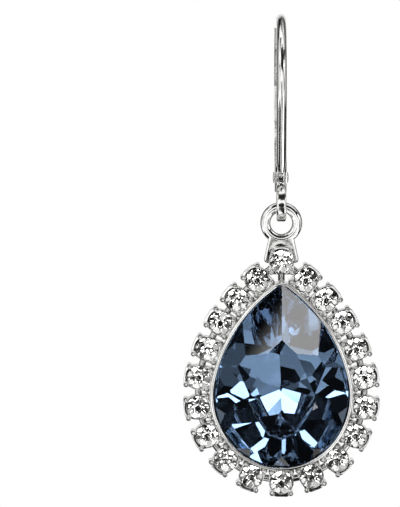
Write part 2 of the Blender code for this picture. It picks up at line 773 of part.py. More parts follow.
def bridge_shape(stations):
    """Low bars from each cup to the next one round the halo."""
    order = sorted(stations, key=lambda spot: math.atan2(spot[1], spot[0]))
    shape = bmesh.new()
    half = LINK_WIDTH / 2
    for first, second in zip(order, order[1:] + order[:1]):
        start, end = Vector((first[0], 0.0, first[1])), Vector((second[0], 0.0, second[1]))
        along = (end - start) / 2
        turn = math.atan2(along.z, along.x)
        place = Matrix.Translation((start + end) / 2) @ Matrix.Rotation(-turn, 4, "Y")
        reach = along.length - 0.55 * CUP_WIDTH / 2
        outline = ((-reach, -half), (reach, -half), (reach, half), (-reach, half))
        add_prism(shape, outline, 0.2 * LINK_HEIGHT, 0.9 * LINK_HEIGHT, place)
    return shape


def make_setting(silver, pivot):
    """Bezel, closed back, cups with prongs, links, loop and tab, soldered into one piece."""
    stations = halo_stations()
    body = make_object("setting", bezel_shape(), silver, pivot, HALO_FRAME)

    def helper(name, shape):
        return make_object(name, shape, parent=pivot, place=HALO_FRAME)

    cups = (bmesh.new(), bmesh.new())
    prongs = (bmesh.new(), bmesh.new())
    order = sorted(stations, key=lambda spot: math.atan2(spot[1], spot[0]))
    for index, station in enumerate(order):
        place = station_place(station)
        add_prism(cups[index % 2], cup_outline(), 0.0, CUP_HEIGHT, place)
        for x, z in prong_spots():
            add_prong(prongs[index % 2], x, z, place)
    seats = bmesh.new()
    seat_rows, seat_point = chaton_rings(
        CHATON_RADIUS + SEAT_GAP, CHATON_TABLE_RADIUS + SEAT_GAP, CHATON_GIRDLE_FRONT,
        CHATON_GIRDLE + SEAT_GAP, CHATON_CROWN + SEAT_GAP, CHATON_PAVILION + SEAT_GAP)
    for station in stations:
        add_round_stone(seats, seat_rows, seat_point, 16, station_place(station))
    combine(body, helper("guide_cups_even", cups[0]), "UNION")
    combine(body, helper("guide_cups_odd", cups[1]), "UNION")
    combine(body, helper("guide_links", link_shape(stations)), "UNION")
    combine(body, helper("guide_bridges", bridge_shape(stations)), "UNION")
    combine(body, helper("guide_prongs_even", prongs[0]), "UNION")
    combine(body, helper("guide_prongs_odd", prongs[1]), "UNION")
    combine(body, helper("guide_back", back_shape()), "UNION")
    combine(body, helper("guide_tab", tab_shape()), "UNION")
    combine(body, helper("guide_loop", loop_shape()), "UNION")
    combine(body, helper("cut_seats", seats), "DIFFERENCE")
    combine(body, helper("cut_cavity", cavity_shape()), "DIFFERENCE")
    combine(body, helper("cut_crystal_seat", crystal_shape(SEAT_GAP)), "DIFFERENCE")
    smooth(body, 30)
    return stations


def make_crystal(blue, pivot):
    return make_object("pear_crystal", crystal_shape(), blue, pivot, HALO_FRAME)


def make_chatons(clear, pivot, stations):
    pattern = None
    for number, station in enumerate(stations, start=1):
        name = f"chaton_{number:02d}"
        place = HALO_FRAME @ station_place(station)
        if pattern is None:
            pattern = make_object(name, chaton_shape(), clear, pivot, place).data
            continue
        item = bpy.data.objects.new(name, pattern)
        bpy.context.scene.collection.objects.link(item)
        item.parent = pivot
        item.matrix_local = place


def build():
    clear_scene()
    silver = make_material("silver_plate", (0.80, 0.80, 0.79), 1.0, 0.16)
    blue = make_material("denim_blue_crystal", (0.16, 0.25, 0.38), 0.0, 0.02, 0.9)
    clear = make_material("clear_crystal", (0.93, 0.94, 0.95), 0.0, 0.02, 0.9)
    hinge = make_empty("lever_hinge_axis", RIVET_CENTRE)
    pivot = make_empty("drop_swing_axis", DROP_PIVOT)
    make_ear_wire(silver)
    make_lever(silver, hinge)
    make_rivet(silver)
    stations = make_setting(silver, pivot)
    make_crystal(blue, pivot)
    make_chatons(clear, pivot, stations)


build()
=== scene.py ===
import math

import bmesh
import bpy
from mathutils import Matrix, Vector


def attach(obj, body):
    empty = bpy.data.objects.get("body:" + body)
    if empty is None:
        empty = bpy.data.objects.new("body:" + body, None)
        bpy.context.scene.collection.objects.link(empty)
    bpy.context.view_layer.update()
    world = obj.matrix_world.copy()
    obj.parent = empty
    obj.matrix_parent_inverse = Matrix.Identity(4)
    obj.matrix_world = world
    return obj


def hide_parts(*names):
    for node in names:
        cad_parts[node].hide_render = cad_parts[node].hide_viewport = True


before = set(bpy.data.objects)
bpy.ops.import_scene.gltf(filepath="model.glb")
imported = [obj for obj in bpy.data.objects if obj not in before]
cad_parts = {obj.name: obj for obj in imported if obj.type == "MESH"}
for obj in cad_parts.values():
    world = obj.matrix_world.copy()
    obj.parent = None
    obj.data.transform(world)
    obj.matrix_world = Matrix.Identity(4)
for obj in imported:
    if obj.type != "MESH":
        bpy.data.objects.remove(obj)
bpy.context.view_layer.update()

MM = 0.001

# Places taken over from the solids, in the frame's metres.
WIRE_CENTRE = Vector((0.0, 0.0, -4.03)) * MM
WIRE_INNER_RADIUS = 4.03 * MM
WIRE_WIDTH = 0.76 * MM
WIRE_DEPTH = 0.95 * MM
WIRE_END_ANGLE = math.radians(157.5)
WIRE_LEG_ANGLE = math.radians(-28.0)
WIRE_LEG_LENGTH = 5.7 * MM
WIRE_TIP_WIDTH = 0.46 * MM
WIRE_TIP_FROM = math.radians(104)
WIRE_TIP_OVER = math.radians(16)
WIRE_SIDES = 28
WIRE_STEPS = 84
LEG_STEPS = 10
# Rounded end of the wire: how far past its cut, in mm, and share of its section.
WIRE_END_SECTION = ((0.050, 0.90), (0.085, 0.70), (0.110, 0.35))
RING_CENTRE = Vector((0.0, -1.63, -13.29)) * MM
RING_OUTER_RADIUS = 1.41 * MM
RING_HOLE_RADIUS = 0.76 * MM
RING_THICKNESS = 0.73 * MM
RING_ROUNDING = 0.15 * MM
RING_STEPS = 64
PLATE_THICKNESS = 0.40 * MM
PLATE_EDGE_BREAK = 0.035 * MM
RIVET_CENTRE = Vector((0.0, 1.60, -11.34)) * MM
RIVET_BOSS_RADIUS = 0.85 * MM
RIVET_PIN_RADIUS = 0.24 * MM
RIVET_HEAD_RADIUS = 0.43 * MM
RIVET_HEAD_HEIGHT = 0.12 * MM
RIVET_HEAD_STEP = 0.02 * MM
RIVET_DOME_STEPS = 8
RIVET_SIDES = 40
PIN_GAP = 0.04 * MM
LEVER_WIDTH = 0.90 * MM
LEVER_CENTRE = Vector((0.0, -3.06, -5.55)) * MM
LEVER_RADIUS = 8.65 * MM
LEVER_FOLD_ROUNDING = 0.11 * MM
LEVER_EDGE_BREAK = 0.03 * MM
DROP_PIVOT = Vector((0.0, -1.63, -13.605)) * MM
LOOP_SECTION_RADIUS = 0.385 * MM
LOOP_MID_RADIUS = 1.195 * MM
LOOP_SEGMENTS = 72
LOOP_SIDES = 24
TAB_THICKNESS = 0.708 * MM
TAB_ROUNDING = 0.12 * MM
DROP_LENGTH = 13.88 * MM
HALO_SET_BACK = 0.60 * MM
HALO_TILT = math.radians(4.0)
HALO_PLACE = (
    Matrix.Translation(DROP_PIVOT)
    @ Matrix.Translation(Vector((0.0, HALO_SET_BACK, -DROP_LENGTH)))
    @ Matrix.Rotation(HALO_TILT, 4, "X")
)

# Corners of the plate's side outline, as (back, up).
# They are counted in ring radii from the ring, and in boss radii from the rivet.
PLATE_BY_RING = ((0.06, 1.16), (0.02, 1.06), (-0.10, 0.93), (-0.38, 0.68), (0.0, 0.0), (0.97, 0.0))
PLATE_BY_RIVET = (
    (-0.51, -1.29),
    (0.50, -0.86),
    (0.92, -0.30),
    (0.92, 0.30),
    (0.50, 0.86),
    (-0.60, 0.78),
    (-1.60, 0.02),
    (-1.86, -0.11),
    (-2.20, -0.14),
    (-2.46, -0.05),
    (-2.68, 0.12),
)
PLATE_LEG_SHARE = 0.93
# Right half of the tab's outline, in mm right of the pivot and above it.
TAB_OUTLINE = ((0.90, -2.09), (1.30, -3.89), (1.24, -4.12), (1.06, -4.20))

# Pear outline of the crystal's visible face, and depths in front of the halo's back plane.
PEAR_HALF_WIDTH = 5.05 * MM
PEAR_LOWER_HEIGHT = 5.42 * MM
PEAR_SIDE_RADIUS = 11.5 * MM
PEAR_SHOULDER = math.radians(12.0)
PEAR_TIP_RADIUS = 0.75 * MM
CRYSTAL_GRIP = 0.12 * MM
CRYSTAL_GIRDLE_FRONT = 2.36 * MM
CRYSTAL_GIRDLE = 0.22 * MM
CRYSTAL_CROWN = 1.46 * MM
CRYSTAL_PAVILION = 4.05 * MM
CRYSTAL_STEPS = 120

# Halo cups and their stones.
CUPS_PER_SIDE = 9
CUP_OFFSET = 1.27 * MM
TOP_CUP_OFFSET = 1.80 * MM
CUP_SPREAD = 1.05
CUP_WIDTH = 1.85 * MM
CUP_OUTER_WIDTH = 1.30 * MM
CUP_OUTWARD = 1.10 * MM
CUP_INWARD = 0.98 * MM
CUP_TAPER_FROM = 0.20 * MM
CUP_SQUARENESS = 7
CUP_STEPS = 40
CUP_FLOOR_RADIUS = 0.12 * MM
CUP_FLOOR = 0.58 * MM
# Section of a cup, from the stone's seat over the rim to its back: form, radius or inset, depth.
CUP_SECTION = (
    ("round", 0.80, 1.30),
    ("round", 0.86, 1.37),
    ("box", 0.035, 1.40),
    ("box", 0.010, 1.385),
    ("box", 0.0, 1.35),
    ("box", 0.0, 0.06),
    ("box", 0.02, 0.015),
    ("box", 0.06, 0.0),
)
STONE_RADIUS = 0.83 * MM
STONE_GIRDLE_FRONT = 1.44 * MM
STONE_GIRDLE = 0.06 * MM
STONE_CROWN = 0.42 * MM
STONE_STEPS = 48
STONE_TURN = math.radians(37.0)
PRONG_RADIUS = 0.19 * MM
PRONG_LEAN = 0.10 * MM
# Claw from its foot to its tip: depth, share of its radius, share of its lean.
PRONG_SECTION = (
    (1.10, 1.0, 0.0),
    (1.55, 1.0, 0.0),
    (1.78, 0.98, 0.35),
    (1.93, 0.88, 0.8),
    (2.01, 0.68, 1.1),
    (2.05, 0.36, 1.3),
)
LINK_RADIUS = 0.26 * MM
LINK_DEPTH = 0.30 * MM
LINK_REACH = 1.5 * MM

# Section of the bezel, from the seat inside it, over the lip and down its outer wall.
# out: distance outside the visible face; depth: distance in front of the halo's back plane.
BEZEL_SECTION = (
    (-0.15, 0.60),
    (-0.15, 2.08),
    (0.16, 2.10),
    (0.17, 2.44),
    (0.01, 2.49),
    (0.07, 2.56),
    (0.13, 2.585),
    (0.22, 2.575),
    (0.28, 2.53),
    (0.30, 2.45),
    (0.30, 0.10),
    (0.24, 0.0),
    (-0.60, 0.0),
)
# Depths in mm between which the lip's crease takes painted shade, and its largest face that the painted
# shade darkens.
CREASE_FROM = 2.05
CREASE_TO = 2.57
CREASE_FACE = 0.1 * MM * MM
BEZEL_STEPS = 144

# Closed back, from the inside of its peak over the rim and down its outer wall.
# depth: distance behind the halo's back plane; share: size of the outline there.
BACK_SECTION = (
    (2.72, 0.05),
    (2.40, 0.22),
    (1.85, 0.37),
    (0.95, 0.59),
    (0.05, 0.79),
    (-0.20, 0.79),
    (-0.20, 0.85),
    (0.05, 0.85),
    (0.95, 0.66),
    (1.85, 0.445),
    (2.52, 0.27),
    (2.90, 0.15),
    (3.08, 0.07),
)
BACK_CORNERS = (-90.0, -52.0, -12.0, 30.0, 56.0, 90.0, 124.0, 150.0, 192.0, 232.0)
BACK_OUTSIDE = 0.30 * MM
BACK_PEAK_RISE = 0.26 * MM

# Crown cuts of the pear crystal, as in the solids: turn of the facet from +X toward +Z, rise and lift.
CROWN_CUTS = (
    (47.0, 24.2, 0.00),
    (2.0, 28.2, 0.00),
    (-34.0, 27.5, 0.00),
    (-71.0, 31.0, 0.00),
    (29.0, 32.3, 0.00),
    (-16.0, 35.0, 0.00),
    (-53.0, 36.0, 0.00),
    (-90.0, 36.0, 0.00),
    (24.0, 17.2, 0.36),
    (-15.0, 18.5, 0.38),
    (-52.0, 20.0, 0.38),
    (-90.0, 21.0, 0.42),
)
# Cuts behind the girdle; those of the left side are turned on by the skew, so that the two halves differ.
PAVILION_CUTS = (
    (47.0, 42.0, 0.00),
    (18.0, 39.0, 0.00),
    (-13.0, 42.5, 0.00),
    (-40.0, 39.0, 0.00),
    (-62.0, 42.5, 0.00),
    (-90.0, 40.0, 0.00),
    (33.0, 50.0, 0.00),
    (3.0, 48.5, 0.00),
    (-26.0, 51.0, 0.00),
    (-51.0, 48.5, 0.00),
    (-76.0, 50.5, 0.00),
    (56.0, 38.0, 0.06),
    (-28.0, 35.5, 0.07),
)
PAVILION_SKEW = 6.0


def halo_point(x, depth, z):
    """Point in the halo's own frame; depth is measured toward the viewer."""
    return Vector((x, -depth, z))


def keep_piece(name, bm, body, materials, replaced=(), sharp=30.0, place=None):
    """Finished piece with its place in its mesh, riding a body of the frame."""
    if place:
        bm.transform(place)
    bmesh.ops.remove_doubles(bm, verts=bm.verts, dist=0.0002 * MM)
    bmesh.ops.recalc_face_normals(bm, faces=bm.faces)
    mesh = bpy.data.meshes.new(name)
    bm.to_mesh(mesh)
    bm.free()
    for material in materials:
        mesh.materials.append(material)
    mesh.shade_smooth()
    mesh.set_sharp_from_angle(angle=math.radians(sharp))
    piece = bpy.data.objects.new(name, mesh)
    bpy.context.scene.collection.objects.link(piece)
    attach(piece, body)
    if replaced:
        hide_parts(*replaced)


def only(items, kind):
    return [item for item in items if isinstance(item, kind)]


def grow_ring(bm, edges, shape):
    """Extrude a ring of edges and move its new points by a rule; returns the new ring."""
    made = bmesh.ops.extrude_edge_only(bm, edges=edges)["geom"]
    fresh = set(only(made, bmesh.types.BMVert))
    for vert in fresh:
        vert.co = shape(vert.co)
    return [edge for edge in only(made, bmesh.types.BMEdge) if set(edge.verts) <= fresh]


def close_ring(bm, edges):
    bmesh.ops.holes_fill(bm, edges=edges, sides=0)


def fuse(parts, operations):
    """Join closed bodies exactly: the first one takes each of the others in turn."""
    objects = []
    for index, part in enumerate(parts):
        bmesh.ops.recalc_face_normals(part, faces=part.faces)
        mesh = bpy.data.meshes.new(f"fuse_{index}")
        part.to_mesh(mesh)
        part.free()
        item = bpy.data.objects.new(f"fuse_{index}", mesh)
        bpy.context.scene.collection.objects.link(item)
        objects.append(item)
    for item, operation in zip(objects[1:], operations):
        modifier = objects[0].modifiers.new(item.name, "BOOLEAN")
        modifier.operation = operation
        modifier.solver = "EXACT"
        modifier.object = item
    result = bmesh.new()
    result.from_object(objects[0], bpy.context.evaluated_depsgraph_get())
    for item in objects:
        mesh = item.data
        bpy.data.objects.remove(item, do_unlink=True)
        bpy.data.meshes.remove(mesh)
    return result


def on_arc(centre, radius, angle):
    """Point of a circle in the side plane; 0 is its front and 90 degrees is its top."""
    return centre + Vector((0.0, -radius * math.cos(angle), radius * math.sin(angle)))


def wire_with_leg():
    """Round wire spun over the lobe, tucked in at its tip, and drawn down into the leg."""
    bm = bmesh.new()
    mid = WIRE_INNER_RADIUS + WIRE_DEPTH / 2
    outward = on_arc(Vector(), 1.0, WIRE_END_ANGLE)
    side = Vector((1.0, 0.0, 0.0))
    turn = Matrix((side, outward.cross(side), outward)).transposed().to_4x4()
    bmesh.ops.create_circle(bm, segments=WIRE_SIDES, radius=1.0)
    flatten = Matrix.Diagonal((WIRE_WIDTH / 2, WIRE_DEPTH / 2, 1.0, 1.0))
    place = Matrix.Translation(on_arc(WIRE_CENTRE, mid, WIRE_END_ANGLE))
    lay = place @ turn @ Matrix.Rotation(math.pi / 2, 4, "X")
    bm.transform(lay @ flatten)
    start = list(bm.edges)
    sweep = WIRE_END_ANGLE - WIRE_LEG_ANGLE
    swept = bmesh.ops.spin(
        bm, geom=start, cent=WIRE_CENTRE, axis=(1.0, 0.0, 0.0), angle=sweep, steps=WIRE_STEPS,
        use_merge=False)
    end = only(swept["geom_last"], bmesh.types.BMEdge)
    down = Vector((0.0, math.sin(WIRE_LEG_ANGLE), math.cos(WIRE_LEG_ANGLE))) * -1
    for _ in range(LEG_STEPS):
        end = grow_ring(bm, end, lambda co: co + down * WIRE_LEG_LENGTH / LEG_STEPS)
    leg_foot = WIRE_CENTRE + on_arc(Vector(), mid, WIRE_LEG_ANGLE) + down * WIRE_LEG_LENGTH
    for vert in bm.verts:
        offset = vert.co - WIRE_CENTRE
        angle = math.atan2(offset.z, -offset.y)
        if angle > math.radians(90.0):
            share = min(max((angle - WIRE_TIP_FROM) / WIRE_TIP_OVER, 0.0), 1.0)
            vert.co.x *= 1.0 + (WIRE_TIP_WIDTH / WIRE_WIDTH - 1.0) * share * share * (3 - 2 * share)
        near_foot = 1.0 - min((vert.co - leg_foot).dot(down) / (-0.9 * MM), 1.0)
        if near_foot > 0.0 and vert.co.z < leg_foot.z + 1.5 * MM:
            vert.co.x *= 1.0 + (PLATE_THICKNESS / WIRE_WIDTH - 1.0) * near_foot
    close_ring(bm, end)
    tip = [edge for edge in bm.edges if edge.is_boundary]
    centre = sum((edge.verts[0].co for edge in tip), Vector()) / len(tip)
    past_tip = outward.cross(side)
    if past_tip.z > 0.0:
        past_tip = -past_tip
    for reach, size in WIRE_END_SECTION:
        tip = grow_ring(bm, tip, lambda co: centre + (co - centre) * size + past_tip * reach * MM)
    close_ring(bm, tip)
    return bm


def plate_points():
    """Side outline of the plate between leg, ring and rivet."""
    mid = WIRE_INNER_RADIUS + WIRE_DEPTH / 2
    down = Vector((0.0, math.sin(WIRE_LEG_ANGLE), math.cos(WIRE_LEG_ANGLE))) * -1
    leg = on_arc(WIRE_CENTRE, mid, WIRE_LEG_ANGLE) + down * WIRE_LEG_LENGTH * PLATE_LEG_SHARE
    across = on_arc(Vector(), 1.0, WIRE_LEG_ANGLE) * WIRE_DEPTH / 2
    ring, rivet = RING_CENTRE, RIVET_CENTRE
    boss, reach = RIVET_BOSS_RADIUS, RING_OUTER_RADIUS
    points = [leg + across]
    points += [ring + Vector((0.0, back, up)) * reach for back, up in PLATE_BY_RING]
    points += [rivet + Vector((0.0, back, up)) * boss for back, up in PLATE_BY_RIVET]
    points.append(leg - across)
    return points


def flat_plate():
    """Stamped plate with its edges broken."""
    bm = bmesh.new()
    half = Vector((PLATE_THICKNESS / 2, 0.0, 0.0))
    face = bm.faces.new([bm.verts.new(point - half) for point in plate_points()])
    grown = bmesh.ops.extrude_face_region(bm, geom=[face])["geom"]
    bmesh.ops.translate(bm, verts=only(grown, bmesh.types.BMVert), vec=half * 2)
    bmesh.ops.recalc_face_normals(bm, faces=bm.faces)
    rims = [edge for edge in bm.edges if abs(edge.verts[0].co.x - edge.verts[1].co.x) < 0.01 * MM]
    bmesh.ops.bevel(
        bm, geom=rims, offset=PLATE_EDGE_BREAK, offset_type="OFFSET", affect="EDGES", segments=2,
        profile=0.5, material=-1)
    return bm


def thick_ring():
    """Ring under the plate, turned from a rounded bar section."""
    bm = bmesh.new()
    section = Matrix.Diagonal((RING_THICKNESS, 1.0, RING_OUTER_RADIUS - RING_HOLE_RADIUS, 1.0))
    lift = Matrix.Translation(RING_CENTRE + Vector((0.0, 0.0, (RING_OUTER_RADIUS + RING_HOLE_RADIUS) / 2)))
    bmesh.ops.create_grid(bm, x_segments=1, y_segments=1, size=0.5)
    bm.transform(lift @ section @ Matrix.Rotation(math.pi / 2, 4, "X"))
    bmesh.ops.bevel(
        bm, geom=list(bm.verts), offset=RING_ROUNDING, offset_type="OFFSET", affect="VERTICES", segments=4,
        profile=0.5, material=-1)
    bmesh.ops.delete(bm, geom=list(bm.faces), context="FACES_ONLY")
    bmesh.ops.spin(
        bm, geom=list(bm.edges), cent=RING_CENTRE, axis=(1.0, 0.0, 0.0), angle=2 * math.pi,
        steps=RING_STEPS, use_merge=True)
    bmesh.ops.remove_doubles(bm, verts=bm.verts, dist=0.001 * MM)
    return bm


def bar_along_x(centre, radius, half, segments=32):
    bm = bmesh.new()
    bmesh.ops.create_cone(
        bm, cap_ends=True, segments=segments, radius1=radius, radius2=radius, depth=2 * half)
    bm.transform(Matrix.Translation(centre) @ Matrix.Rotation(math.pi / 2, 4, "Y"))
    return bm


def make_wire_and_ring(silver):
    """Wire, plate and ring, fused into one piece of metal."""
    hole = bar_along_x(RING_CENTRE, RING_HOLE_RADIUS * 0.999, RING_THICKNESS, 64)
    bore = bar_along_x(RIVET_CENTRE, RIVET_PIN_RADIUS + PIN_GAP, PLATE_THICKNESS)
    parts = [wire_with_leg(), flat_plate(), hole, thick_ring(), bore]
    bm = fuse(parts, ("UNION", "DIFFERENCE", "UNION", "DIFFERENCE"))
    keep_piece("polished_ear_wire", bm, "hook", [silver], ["ear_wire"], sharp=24.0)


def merged_copy(node):
    """Copy of a solid's mesh with its loose triangles joined and its flat faces whole again."""
    bm = bmesh.new()
    bm.from_mesh(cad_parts[node].data)
    bmesh.ops.remove_doubles(bm, verts=bm.verts, dist=0.0005 * MM)
    bmesh.ops.dissolve_limit(bm, angle_limit=math.radians(0.5), verts=bm.verts, edges=bm.edges)
    return bm


def make_lever(silver):
    """Folded lever whose outer folds are rounded and whose cut edges are broken."""
    bm = merged_copy("lever")
    folds, rims = [], []
    for edge in bm.edges:
        if len(edge.link_faces) != 2 or edge.calc_face_angle(0.0) < math.radians(45):
            continue
        outer = all(
            abs((vert.co - LEVER_CENTRE).yz.length - LEVER_RADIUS) < 0.02 * MM for vert in edge.verts)
        at_side = all(abs(abs(vert.co.x) - LEVER_WIDTH / 2) < 0.01 * MM for vert in edge.verts)
        if outer and at_side:
            folds.append(edge)
        elif at_side:
            rims.append(edge)
    bmesh.ops.bevel(
        bm, geom=folds, offset=LEVER_FOLD_ROUNDING, offset_type="OFFSET", affect="EDGES", segments=4,
        profile=0.5, material=-1)
    rims = [edge for edge in rims if edge.is_valid]
    bmesh.ops.bevel(
        bm, geom=rims, offset=LEVER_EDGE_BREAK, offset_type="OFFSET", affect="EDGES", segments=2,
        profile=0.5, material=-1)
    keep_piece("polished_lever", bm, "lever", [silver], ["lever"], sharp=14.0)


def make_rivet(silver):
    """Pin with a low dome on each side, turned in one piece."""
    bm = bmesh.new()
    seat = LEVER_WIDTH / 2 + PIN_GAP
    rows = [Vector((0.0, 0.0, RIVET_PIN_RADIUS)), Vector((seat, 0.0, RIVET_PIN_RADIUS))]
    rows.append(Vector((seat, 0.0, RIVET_HEAD_RADIUS * 0.96)))
    for step in range(RIVET_DOME_STEPS + 1):
        angle = math.radians(90.0 * step / RIVET_DOME_STEPS)
        rise = RIVET_HEAD_STEP + (RIVET_HEAD_HEIGHT - RIVET_HEAD_STEP) * math.sin(angle)
        rows.append(Vector((seat + rise, 0.0, RIVET_HEAD_RADIUS * math.cos(angle))))
    points = [bm.verts.new(row) for row in rows]
    for first, second in zip(points, points[1:]):
        bm.edges.new((first, second))
    bmesh.ops.mirror(bm, geom=bm.verts[:] + bm.edges[:], axis="X", merge_dist=0.001 * MM)
    bmesh.ops.spin(
        bm, geom=bm.verts[:] + bm.edges[:], cent=(0, 0, 0), axis=(1, 0, 0), angle=2 * math.pi,
        steps=RIVET_SIDES, use_merge=True)
    keep_piece("domed_rivet", bm, "hook", [silver], ["lever_rivet"],
               sharp=40.0, place=Matrix.Translation(RIVET_CENTRE))


def pear_point(turn, out=0.0):
    """Point of the pear outline that faces this way round from +X, moved outward."""
    folded = math.asin(max(-1.0, min(1.0, math.sin(turn))))
    side_x = -(PEAR_SIDE_RADIUS - PEAR_HALF_WIDTH) * math.cos(PEAR_SHOULDER)
    side_z = -(PEAR_SIDE_RADIUS - PEAR_HALF_WIDTH) * math.sin(PEAR_SHOULDER)
    tip_z = side_z + math.sqrt((PEAR_SIDE_RADIUS - PEAR_TIP_RADIUS) ** 2 - side_x ** 2)
    join = math.atan2(tip_z - side_z, -side_x)
    cosine, sine = math.cos(folded), math.sin(folded)
    if folded <= 0.0:
        swing = math.atan2(sine * PEAR_LOWER_HEIGHT, cosine * PEAR_HALF_WIDTH)
        x, z = PEAR_HALF_WIDTH * math.cos(swing), PEAR_LOWER_HEIGHT * math.sin(swing)
    elif folded <= PEAR_SHOULDER:
        x, z = PEAR_HALF_WIDTH * cosine, PEAR_HALF_WIDTH * sine
    elif folded <= join:
        x, z = side_x + PEAR_SIDE_RADIUS * cosine, side_z + PEAR_SIDE_RADIUS * sine
    else:
        x, z = PEAR_TIP_RADIUS * cosine, tip_z + PEAR_TIP_RADIUS * sine
    x, z = x + out * cosine, z + out * sine
    return (-x if math.cos(turn) < -1e-9 else x), z


def pear_ring(bm, out, depth, segments):
    """Circle of edges drawn out to the pear outline; each point keeps the way that it faces."""
    facing = bm.verts.layers.float.new("facing")
    bmesh.ops.create_circle(bm, segments=segments, radius=1.0)
    for vert in bm.verts:
        vert[facing] = math.atan2(vert.co.y, vert.co.x)
        x, z = pear_point(vert[facing], out)
        vert.co = halo_point(x, depth, z)
    return list(bm.edges), facing


def follow_section(bm, ring, facing, section):
    """Sweep a section of (out, depth) rows round the pear."""
    for out, depth in section:
        ring = grow_ring(bm, ring, lambda co: co)
        for vert in {vert for edge in ring for vert in edge.verts}:
            x, z = pear_point(vert[facing], out * MM)
            vert.co = halo_point(x, depth * MM, z)
    return ring


def bezel_wall():
    """Bezel swept round the pear: seat, lip rolled over the crystal's edge, and straight outer wall.

    The crease where the lip meets the crystal takes the second material, a near-black painted shade, on its
    small faces.
    """
    bm = bmesh.new()
    (out, depth), rest = BEZEL_SECTION[0], BEZEL_SECTION[1:]
    first, facing = pear_ring(bm, out * MM, depth * MM, BEZEL_STEPS)
    last = follow_section(bm, first, facing, rest)
    bmesh.ops.bridge_loops(bm, edges=first + last)
    bm.verts.layers.float.remove(facing)
    bmesh.ops.recalc_face_normals(bm, faces=bm.faces)
    for face in bm.faces:
        depths = [-vert.co.y / MM for vert in face.verts]
        middle = face.calc_center_median()
        in_lip = min(depths) > CREASE_FROM and max(depths) < CREASE_TO and face.calc_area() < CREASE_FACE
        faces_in = face.normal.x * middle.x + face.normal.z * middle.z < 0.0
        face.material_index = 1 if in_lip and faces_in else 0
    return bm


def closed_back():
    """Faceted shell behind the crystal, drawn together toward its peak."""
    bm = bmesh.new()
    corner = bm.verts.layers.int.new("corner")
    bmesh.ops.create_circle(bm, segments=len(BACK_CORNERS), radius=1.0)
    spots = [pear_point(math.radians(turn), BACK_OUTSIDE) for turn in BACK_CORNERS]
    for index, vert in enumerate(bm.verts):
        vert[corner] = index
    ring = first = list(bm.edges)
    for row, (depth, share) in enumerate(BACK_SECTION):
        if row:
            ring = grow_ring(bm, ring, lambda co: co)
        rise = BACK_PEAK_RISE * (1.0 - share)
        for vert in {vert for edge in ring for vert in edge.verts}:
            x, z = spots[vert[corner]]
            vert.co = halo_point(x * share, -depth * MM, z * share + rise)
    close_ring(bm, first)
    close_ring(bm, ring)
    bm.verts.layers.int.remove(corner)
    return bm


def halo_stations():
    """Places of the cups as (x, z, turn): the top one, then down both sides, and the bottom one."""
    turns = [math.radians(90.0 - step / 2) for step in range(361)]
    line = [pear_point(turn, CUP_OFFSET) for turn in turns]
    reach = [0.0]
    for first, second in zip(line, line[1:]):
        reach.append(reach[-1] + math.dist(first, second))
    top = pear_point(math.pi / 2, TOP_CUP_OFFSET)
    stations = [(top[0], top[1], math.pi / 2)]
    for number in range(1, CUPS_PER_SIDE + 1):
        wanted = reach[-1] * (number / (CUPS_PER_SIDE + 1)) ** CUP_SPREAD
        index = next(place for place, distance in enumerate(reach) if distance >= wanted)
        x, z = line[index]
        stations.append((x, z, turns[index]))
        stations.append((-x, z, math.pi - turns[index]))
    bottom = pear_point(-math.pi / 2, CUP_OFFSET)
    stations.append((bottom[0], bottom[1], -math.pi / 2))
    return stations


def station_place(station):
    """Frame of a cup: its own +Z points away from the crystal."""
    x, z, turn = station
    return Matrix.Translation((x, 0.0, z)) @ Matrix.Rotation(math.pi / 2 - turn, 4, "Y")


def cup_edge(way, inset=0.0):
    """Rounded box of the cup's outside, narrower on its outer side, in the cup's own frame."""
    across, along = math.cos(way), math.sin(way)
    stretch = (abs(across) ** CUP_SQUARENESS + abs(along) ** CUP_SQUARENESS) ** (-1.0 / CUP_SQUARENESS)
    x = across * stretch * (CUP_WIDTH / 2 - inset)
    length = (CUP_OUTWARD + CUP_INWARD) / 2
    z = along * stretch * (length - inset) + (CUP_OUTWARD - CUP_INWARD) / 2
    if z > CUP_TAPER_FROM:
        share = min((z - CUP_TAPER_FROM) / (CUP_OUTWARD - CUP_TAPER_FROM), 1.0)
        x *= 1.0 + (CUP_OUTER_WIDTH / CUP_WIDTH - 1.0) * share
    return x, z


def square_cup():
    """One cup: stone seat, flat rim, rounded box outside and flat back."""
    bm = bmesh.new()
    facing = bm.verts.layers.float.new("facing")
    bmesh.ops.create_circle(bm, segments=CUP_STEPS, radius=1.0)
    for vert in bm.verts:
        vert[facing] = math.atan2(vert.co.y, vert.co.x)
        vert.co = halo_point(CUP_FLOOR_RADIUS * vert.co.x, CUP_FLOOR, CUP_FLOOR_RADIUS * vert.co.y)
    first = list(bm.edges)
    ring = first
    for form, size, depth in CUP_SECTION:
        ring = grow_ring(bm, ring, lambda co: co)
        for vert in {vert for edge in ring for vert in edge.verts}:
            way = vert[facing]
            if form == "round":
                vert.co = halo_point(size * MM * math.cos(way), depth * MM, size * MM * math.sin(way))
            else:
                x, z = cup_edge(way, size * MM)
                vert.co = halo_point(x, depth * MM, z)
    close_ring(bm, first)
    close_ring(bm, ring)
    bm.verts.layers.float.remove(facing)
    return bm


def prong_spots():
    inner = CUP_WIDTH / 2 - PRONG_RADIUS * 0.75
    outer = CUP_OUTER_WIDTH / 2 + PRONG_RADIUS * 0.35
    low = -CUP_INWARD + PRONG_RADIUS * 0.85
    high = CUP_OUTWARD - PRONG_RADIUS * 1.35
    return ((-inner, low), (inner, low), (-outer, high), (outer, high))


